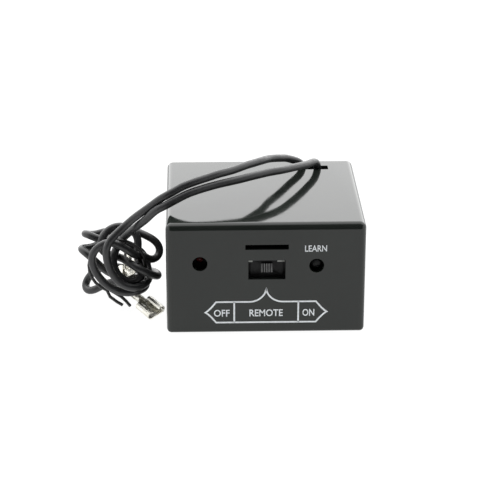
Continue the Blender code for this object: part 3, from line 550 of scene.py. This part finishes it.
def show_copies(body, nodes):
    """Merged copies that stand for frame nodes and ride on their body."""
    finishes = all_finishes()
    for node in nodes:
        slot = slot_of(node)
        skin = merged_copy(node, finishes[slot])
        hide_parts(node)
        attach(skin, body)


# ---------------------------------------------------------------- leads


def even_curve(knots, spacing):
    """Points evenly spaced on a centripetal Catmull-Rom curve through the knots, and the knot that each
    point comes after, as a fraction."""
    knots = np.array(knots, float)
    knots = np.vstack([2 * knots[0] - knots[1], knots, 2 * knots[-1] - knots[-2]])
    span = np.sqrt(np.linalg.norm(np.diff(knots, axis=0), axis=1))
    time = np.concatenate([[0.0], np.cumsum(span)])
    share = np.linspace(0.0, 1.0, 16, endpoint=False)
    first = np.arange(1, len(knots) - 2)
    moment = (time[first][:, None] + share * (time[first + 1] - time[first])[:, None]).ravel()
    number = np.repeat(first, len(share))

    def blend(left, right, left_time, right_time):
        weight = ((moment - left_time) / (right_time - left_time))[:, None]
        return left * (1.0 - weight) + right * weight

    corner = [knots[number + offset] for offset in (-1, 0, 1, 2)]
    when = [time[number + offset] for offset in (-1, 0, 1, 2)]
    one = [blend(corner[k], corner[k + 1], when[k], when[k + 1]) for k in range(3)]
    two = [blend(one[k], one[k + 1], when[k], when[k + 2]) for k in range(2)]
    dense = np.vstack([blend(two[0], two[1], when[1], when[2]), knots[-2:-1]])
    knot = np.concatenate([(number - 1) + np.tile(share, len(first)), [len(knots) - 3]])
    length = np.concatenate([[0.0], np.cumsum(np.linalg.norm(np.diff(dense, axis=0), axis=1))])
    wanted = np.linspace(0.0, length[-1], max(2, round(length[-1] / spacing) + 1))
    points = np.stack([np.interp(wanted, length, dense[:, axis]) for axis in range(3)], axis=1)
    return points, np.interp(wanted, length, knot)


def turned_box(middle, turns, half):
    """A terminal as a box: middle, its three axes as rows, half sizes."""
    axes = np.array(Euler([math.radians(turn) for turn in turns]).to_matrix()).T
    return np.array(middle), axes, np.array(half)


def settled(leads, radius):
    """The leads relaxed together into turns that touch but don't cut each other.

    Each round: a wire's points move towards the fourth difference of their neighbours, so that bends spread
    out; they're drawn a little towards their knots; segments take back their length; and points nearer than
    a wire's thickness to another turn, the tie, a terminal, the case's side or the floor are moved out."""
    curves = [even_curve(lead + turns, SETTLE_SPACING) for lead, turns in leads]
    points = np.vstack([curve[0] for curve in curves])
    wire = np.concatenate([np.full(len(curve[0]), number) for number, curve in enumerate(curves)])
    free = np.ones(len(points))
    start = 0
    last = []
    for (lead, _), (curve, knot) in zip(leads, curves):
        free[start:start + len(curve)][knot < len(lead)] = 0.0
        free[start + len(curve) - 3:start + len(curve)] = 0.0
        start += len(curve)
        last.append(start - 1)
    aim = points.copy()
    thickness = radius * 2.0 * SETTLE_OVER
    here = np.nonzero(wire[:-1] == wire[1:])[0]
    there = here + 1
    rest = np.linalg.norm(points[there] - points[here], axis=1)
    middle = np.arange(2, len(points) - 2)
    middle = middle[wire[middle - 2] == wire[middle + 2]]
    one, other = np.triu_indices(len(points), 2)
    apart = ~((wire[one] == wire[other]) & ((other - one) * SETTLE_SPACING < SETTLE_SKIP * 2.0 * radius))
    apart &= (free[one] + free[other]) > 0.0
    one, other = one[apart], other[apart]
    boxes = [turned_box(*box) for box in TERMINAL_BOXES]
    index = np.arange(len(points))
    own_second = index > last[1] - 7
    own_first = (index > last[0] - 5) & (index <= last[0])
    own_end = (own_second, own_second, own_first, own_first)
    for number in range(SETTLE_ROUNDS):
        if number % 10 == 0:
            gap = np.linalg.norm(points[one] - points[other], axis=1)
            close = gap < thickness + SETTLE_WATCH
            near_one, near_other = one[close], other[close]
        bend = (points[middle - 2] - 4 * points[middle - 1] + 6 * points[middle]
                - 4 * points[middle + 1] + points[middle + 2])
        points[middle] -= SETTLE_BEND * bend * free[middle][:, None]
        points += SETTLE_PULL * (aim - points) * free[:, None]
        for _ in range(3):
            step = points[there] - points[here]
            length = np.linalg.norm(step, axis=1)
            share = np.maximum(free[here] + free[there], 1.0)
            change = ((length - rest) / length / share)[:, None] * step * 0.5
            np.add.at(points, here, change * free[here][:, None])
            np.add.at(points, there, -change * free[there][:, None])
        step = points[near_one] - points[near_other]
        length = np.linalg.norm(step, axis=1)
        touch = length < thickness
        left, right, step, length = near_one[touch], near_other[touch], step[touch], length[touch]
        share = np.maximum(free[left] + free[right], 1.0)
        push = ((thickness - length) / share * 0.5 / length)[:, None] * step
        total, count = np.zeros_like(points), np.zeros(len(points))
        np.add.at(total, left, push * free[left][:, None])
        np.add.at(total, right, -push * free[right][:, None])
        np.add.at(count, left, 1.0)
        np.add.at(count, right, 1.0)
        points += total / np.maximum(count, 1.0)[:, None] * SETTLE_SPREAD
        clear_of_tie(points, free, radius)
        for (centre, axes, half), own in zip(boxes, own_end):
            clear_of_box(points, (free > 0.0) & ~own, centre, axes, half, radius + BOX_GAP)
        points[(free > 0.0) & (points[:, 2] < radius + FLOOR_GAP), 2] = radius + FLOOR_GAP
        side = case_low[0] - radius - SIDE_GAP
        points[(free > 0.0) & (points[:, 0] > side) & (points[:, 2] < CASE_TOP), 0] = side
    return [points[wire == number] for number in range(len(leads))]


def clear_of_tie(points, free, radius):
    """Moves points out of the tie's ring: away from the nearest point of its circle."""
    flat = (points - TIE_CENTRE)[:, [0, 2]]
    flat = flat / np.linalg.norm(flat, axis=1)[:, None] * TIE_RING
    nearest = TIE_CENTRE + np.stack([flat[:, 0], np.zeros(len(points)), flat[:, 1]], axis=1)
    step = points - nearest
    length = np.linalg.norm(step, axis=1)
    room = radius + TIE_WIRE + TIE_GAP
    inside = (length < room) & (free > 0.0)
    points[inside] += step[inside] / length[inside][:, None] * (room - length[inside])[:, None] * SETTLE_PUSH


def clear_of_box(points, free, centre, axes, half, room):
    """Moves points out of a turned box and the room round it."""
    local = (points - centre) @ axes.T
    step = local - np.clip(local, -half, half)
    length = np.linalg.norm(step, axis=1)
    near = free & (length < room) & (length > 1e-9)
    push = step[near] / length[near][:, None] * (room - length[near])[:, None] * SETTLE_PUSH
    points[near] += push @ axes
    inside = free & (length <= 1e-9)
    if inside.any():
        depth = half - np.abs(local[inside])
        way = np.eye(3)[depth.argmin(axis=1)] * np.sign(local[inside])
        points[inside] += (way * 0.0003) @ axes


# ---------------------------------------------------------------- operators


class RECEIVER_OT_case(bpy.types.Operator):
    """Shows the case, its base, door and screws with smooth edges"""

    bl_idname = "receiver.case"
    bl_label = "Case"

    def execute(self, context):
        screws = [name for name in frame["nodes"] if name.startswith("case_screw")]
        show_copies("receiver", ["case_top", "case_base"] + screws)
        show_copies("door", ["battery_door"])
        return {"FINISHED"}


class RECEIVER_OT_controls(bpy.types.Operator):
    """Shows the slide switch, the lamp and the learn button with smooth edges"""

    bl_idname = "receiver.controls"
    bl_label = "Controls"

    def execute(self, context):
        show_copies("knob", ["slide_knob"])
        show_copies("button", ["learn_button"])
        show_copies("receiver", ["indicator_lamp", "lamp_holder"])
        finishes = all_finishes()
        frame_skin = merged_copy("switch_frame", finishes["frame_dark"])
        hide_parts("switch_frame")
        plates = [frame_skin]
        for name, low, high in SWITCH_TABS:
            plates.append(plate(name, low, high, TAB_FRONT, PLATE_THICK, finishes["frame_tab"]))
        # A black plate behind the window: painted shade where the board would show under the shutter
        painted_shade = plate("window_shade", *SWITCH_PAINTED_SHADE, PAINTED_SHADE_FRONT, PLATE_THICK, finishes["inner_black"])
        plates.append(painted_shade)
        for piece in plates:
            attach(piece, "receiver")
        return {"FINISHED"}


class RECEIVER_OT_inside(bpy.types.Operator):
    """Gives the parts inside the case their finishes"""

    bl_idname = "receiver.inside"
    bl_label = "Inside"

    def execute(self, context):
        finishes = all_finishes()
        for name, node in frame["nodes"].items():
            for place in node.material_slots:
                place.material = finishes[slot_of(name)]
        return {"FINISHED"}


class RECEIVER_OT_marking(bpy.types.Operator):
    """Prints the words and the line round the switch's positions on the face"""

    bl_idname = "receiver.marking"
    bl_label = "Marking"

    def execute(self, context):
        ink = all_finishes()["print_ink"]
        sizes = context.scene.receiver_sizes
        outline = banner_line()
        pieces = [bar("switch_outline", outline, sizes.line_width, sizes.ink_height, ink, closed=True)]
        for number, place in enumerate(DIVIDERS):
            line = np.array(((place, PLAQUE_LOW), (place, PLAQUE_HIGH)))
            pieces.append(bar(f"switch_divider_{number + 1}", line, sizes.line_width, sizes.ink_height, ink,
                              closed=False))
        for word, across, up, width, small in WORDS:
            height = sizes.small_word_height if small else sizes.word_height
            pieces.append(printed_word(word, across, up, width, height, sizes.ink_height, ink))
        for piece in pieces:
            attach(piece, "receiver")
        return {"FINISHED"}


def banner_line():
    """The line round the switch's words: a flat plaque whose two ends run to points on slightly hollow
    curves, height = share along ** 1.3, and whose top rises to a peak over the middle word on two hollow
    quarter ellipses."""
    turn = np.linspace(0.0, math.pi / 2, 14)
    low, high, middle = PLAQUE_LOW, PLAQUE_HIGH, PLAQUE_MIDDLE

    def hollow(start, end, flat_first):
        """From start to end, level at its start if flat_first, else upright there."""
        (x0, z0), (x1, z1) = start, end
        if flat_first:
            return np.column_stack([x0 + (x1 - x0) * np.sin(turn), z0 + (z1 - z0) * (1 - np.cos(turn))])
        return np.column_stack([x0 + (x1 - x0) * (1 - np.cos(turn)), z0 + (z1 - z0) * np.sin(turn)])

    share = np.linspace(0.0, 1.0, 10)

    def flank(point, corner, outward):
        """From the plaque's point to a corner, or back where outward is set."""
        curve = np.column_stack([point[0] + (corner[0] - point[0]) * share,
                                 point[1] + (corner[1] - point[1]) * share ** 1.3])
        return curve[::-1] if outward else curve

    parts = [
        flank((PLAQUE_LEFT[0], middle), (PLAQUE_LEFT[1], low), True)[:-1],
        flank((PLAQUE_LEFT[0], middle), (PLAQUE_LEFT[1], high), False),
        hollow((PEAK_START, high), PEAK, True)[:-1],
        hollow(PEAK, (PEAK_END, high), False)[:-1],
        np.array(((PEAK_END, high),)),
        flank((PLAQUE_RIGHT[0], middle), (PLAQUE_RIGHT[1], high), True)[:-1],
        flank((PLAQUE_RIGHT[0], middle), (PLAQUE_RIGHT[1], low), False),
    ]
    return np.vstack(parts)


def printed_word(word, across, up, width, height, ink_height, ink):
    """A word as thin raised print, scaled to its width and capital height on the face."""
    letters = bpy.data.curves.new(word, "FONT")
    letters.body = word
    letters.extrude = 0.5
    letters.resolution_u = 3
    letters.offset = 0.012
    text = bpy.data.objects.new("word", letters)
    bpy.context.scene.collection.objects.link(text)
    bpy.context.view_layer.update()
    mesh = bpy.data.meshes.new_from_object(text)
    bpy.data.objects.remove(text)
    flat = np.zeros(len(mesh.vertices) * 3)
    mesh.vertices.foreach_get("co", flat)
    flat = flat.reshape(-1, 3)
    low, high = flat.min(axis=0), flat.max(axis=0)
    unit = (flat - (low + high) / 2) / (high - low)
    forward = FRONT + INK_SINK - (unit[:, 2] + 0.5) * (ink_height + INK_SINK)
    placed = np.column_stack([across + unit[:, 0] * width, forward, up + unit[:, 1] * height])
    mesh.vertices.foreach_set("co", placed.ravel())
    mesh.name = "word_" + word.lower()
    mesh.materials.clear()
    mesh.materials.append(ink)
    piece = bpy.data.objects.new(mesh.name, mesh)
    bpy.context.scene.collection.objects.link(piece)
    return piece


class RECEIVER_OT_leads(bpy.types.Operator):
    """Lays the two leads over the case and bunches them in the tie, down to their terminals"""

    bl_idname = "receiver.leads"
    bl_label = "Leads"

    def execute(self, context):
        sizes = context.scene.receiver_sizes
        insulation = all_finishes()["wire_black"]
        show_copies("receiver", ["push_on_terminal_1", "push_on_terminal_2", "twist_tie"])
        routes = settled(((LEAD_ONE, TURNS_ONE), (LEAD_TWO, TURNS_TWO)), sizes.wire_radius)
        facts = (
            ("wire_one", (0.0220, 0.0247, CASE_TOP), ("lead_1", "coil_front", "tail_1"),
             ("push_on_terminal_1", "twist_tie")),
            ("wire_two", (0.0162, 0.0247, CASE_TOP), ("lead_2", "coil_back", "tail_2"),
             ("push_on_terminal_2",)),
        )
        for route, (name, slot_point, stands_for, ends) in zip(routes, facts):
            path, _ = even_curve(route, 0.0008)
            wire = tube(name, path, sizes.wire_radius, sizes.wire_sides, insulation)
            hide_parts(*stands_for)
            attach(wire, "receiver")
        return {"FINISHED"}


class RECEIVER_OT_stage(bpy.types.Operator):
    """Sets the pale floor, the soft light and the camera"""

    bl_idname = "receiver.stage"
    bl_label = "Stage"

    def execute(self, context):
        near = floor_plane("floor_near", (-0.45, -0.17), (0.45, 0.5), 0.0, floor_paint())
        far = floor_plane("floor_far", (-20.0, -20.0), (20.0, 20.0), -0.0005, floor_paint())
        far.visible_glossy = False
        far.visible_diffuse = False
        soft_room(context.scene)
        set_camera(context.scene)
        context.scene.view_settings.view_transform = "Standard"
        context.scene.view_settings.look = "None"
        return {"FINISHED"}


def floor_plane(name, low, high, height, paint):
    """A flat rectangle facing up."""
    corners = np.array(((low[0], low[1], height), (high[0], low[1], height), (high[0], high[1], height),
                        (low[0], high[1], height)))
    return mesh_object(name, corners, [(0, 1, 2, 3)], paint, smooth=False)


def floor_paint():
    """Pale floor that glows a little, so that shadows on it stay faint."""
    material = bpy.data.materials.new("floor_paint")
    material.use_nodes = True
    nodes, links = material.node_tree.nodes, material.node_tree.links
    nodes.clear()
    glow, matt = nodes.new("ShaderNodeEmission"), nodes.new("ShaderNodeBsdfDiffuse")
    both, output = nodes.new("ShaderNodeAddShader"), nodes.new("ShaderNodeOutputMaterial")
    glow.inputs["Strength"].default_value = 0.95
    matt.inputs["Color"].default_value = (0.12, 0.12, 0.12, 1.0)
    links.new(glow.outputs["Emission"], both.inputs[0])
    links.new(matt.outputs["BSDF"], both.inputs[1])
    links.new(both.outputs["Shader"], output.inputs["Surface"])
    return material


def soft_room(scene):
    """A white room seen by the camera, lit for everything else by bands: bright behind and above, dark in
    front, and fairly bright at the sides. The band is read from the angle of up against front."""
    world = bpy.data.worlds.new("soft_room")
    scene.world = world
    world.use_nodes = True
    nodes, links = world.node_tree.nodes, world.node_tree.links
    nodes.clear()
    way = nodes.new("ShaderNodeSeparateXYZ")
    links.new(nodes.new("ShaderNodeTexCoord").outputs["Generated"], way.inputs["Vector"])

    def sum_of(operation, first, second=None, value=None):
        node = nodes.new("ShaderNodeMath")
        node.operation = operation
        links.new(first, node.inputs[0])
        if second is not None:
            links.new(second, node.inputs[1])
        if value is not None:
            node.inputs[1].default_value = value
        return node.outputs["Value"]

    front = sum_of("MULTIPLY", way.outputs["Y"], value=-1.0)
    angle = sum_of("ARCTAN2", way.outputs["Z"], front)
    turn = sum_of("ADD", sum_of("MULTIPLY", angle, value=0.5 / math.pi), value=0.5)
    ramp = nodes.new("ShaderNodeValToRGB")
    links.new(turn, ramp.inputs["Fac"])
    elements = ramp.color_ramp.elements
    while len(elements) > 1:
        elements.remove(elements[-1])
    for number, (degrees, bright) in enumerate(ROOM_BANDS):
        place = elements[0] if number == 0 else elements.new(degrees / 360.0 + 0.5)
        place.position = degrees / 360.0 + 0.5
        place.color = (bright / ROOM_PEAK,) * 3 + (1.0,)
    aside = nodes.new("ShaderNodeMapRange")
    aside.interpolation_type = "SMOOTHSTEP"
    aside.inputs["From Min"].default_value = 0.55
    aside.inputs["From Max"].default_value = 0.9
    links.new(sum_of("ABSOLUTE", way.outputs["X"]), aside.inputs["Value"])
    blend = nodes.new("ShaderNodeMix")
    blend.data_type = "RGBA"
    links.new(aside.outputs["Result"], blend.inputs["Factor"])
    links.new(ramp.outputs["Color"], blend.inputs["A"])
    blend.inputs["B"].default_value = (0.5, 0.5, 0.5, 1.0)
    lit, seen = nodes.new("ShaderNodeBackground"), nodes.new("ShaderNodeBackground")
    lit.inputs["Strength"].default_value = ROOM_PEAK
    links.new(blend.outputs["Result"], lit.inputs["Color"])
    seen.inputs["Color"].default_value = (1.0, 1.0, 1.0, 1.0)
    choose, output = nodes.new("ShaderNodeMixShader"), nodes.new("ShaderNodeOutputWorld")
    links.new(nodes.new("ShaderNodeLightPath").outputs["Is Camera Ray"], choose.inputs["Fac"])
    links.new(lit.outputs["Background"], choose.inputs[1])
    links.new(seen.outputs["Background"], choose.inputs[2])
    links.new(choose.outputs["Shader"], output.inputs["Surface"])


def set_camera(scene):
    """A camera that looks down by the first angle, turned from +Y towards +X by the second and tipped by the
    third, in degrees."""
    down, aside, tip = (math.radians(angle) for angle in CAMERA_ANGLES)
    ahead = Vector((math.sin(aside) * math.cos(down), math.cos(aside) * math.cos(down), -math.sin(down)))
    level = Vector((math.cos(aside), -math.sin(aside), 0.0))
    upright = level.cross(ahead)
    right = level * math.cos(tip) + upright * math.sin(tip)
    up = upright * math.cos(tip) - level * math.sin(tip)
    lens = bpy.data.cameras.new("camera")
    lens.lens = CAMERA_LENS
    lens.sensor_width = 36.0
    lens.clip_start = 0.01
    camera = bpy.data.objects.new("camera", lens)
    turn = Matrix((right, up, -ahead)).transposed().to_4x4()
    camera.matrix_world = Matrix.Translation(CAMERA_PLACE) @ turn
    scene.collection.objects.link(camera)
    scene.camera = camera


class RECEIVER_PT_panel(bpy.types.Panel):
    """Lists the receiver's pieces, sizes and colours"""

    bl_idname = "RECEIVER_PT_panel"
    bl_label = "Receiver"
    bl_space_type = "VIEW_3D"
    bl_region_type = "UI"
    bl_category = "Receiver"

    def draw(self, context):
        layout = self.layout
        for group in (context.scene.receiver_sizes, context.scene.receiver_colours):
            for name in group.__annotations__:
                layout.prop(group, name)
        for operator in OPERATORS:
            layout.operator(operator.bl_idname)


OPERATORS = (
    RECEIVER_OT_inside,
    RECEIVER_OT_case,
    RECEIVER_OT_controls,
    RECEIVER_OT_marking,
    RECEIVER_OT_leads,
    RECEIVER_OT_stage,
)
CLASSES = (ReceiverSizes, ReceiverColours, RECEIVER_PT_panel) + OPERATORS


def register():
    for each in CLASSES:
        bpy.utils.register_class(each)
    bpy.types.Scene.receiver_sizes = PointerProperty(type=ReceiverSizes)
    bpy.types.Scene.receiver_colours = PointerProperty(type=ReceiverColours)


def unregister():
    del bpy.types.Scene.receiver_colours
    del bpy.types.Scene.receiver_sizes
    for each in reversed(CLASSES):
        bpy.utils.unregister_class(each)


def main():
    """Adds every piece in order."""
    register()
    bpy.ops.receiver.inside()
    bpy.ops.receiver.case()
    bpy.ops.receiver.controls()
    bpy.ops.receiver.marking()
    bpy.ops.receiver.leads()
    bpy.ops.receiver.stage()


if __name__ == "__main__":
    main()
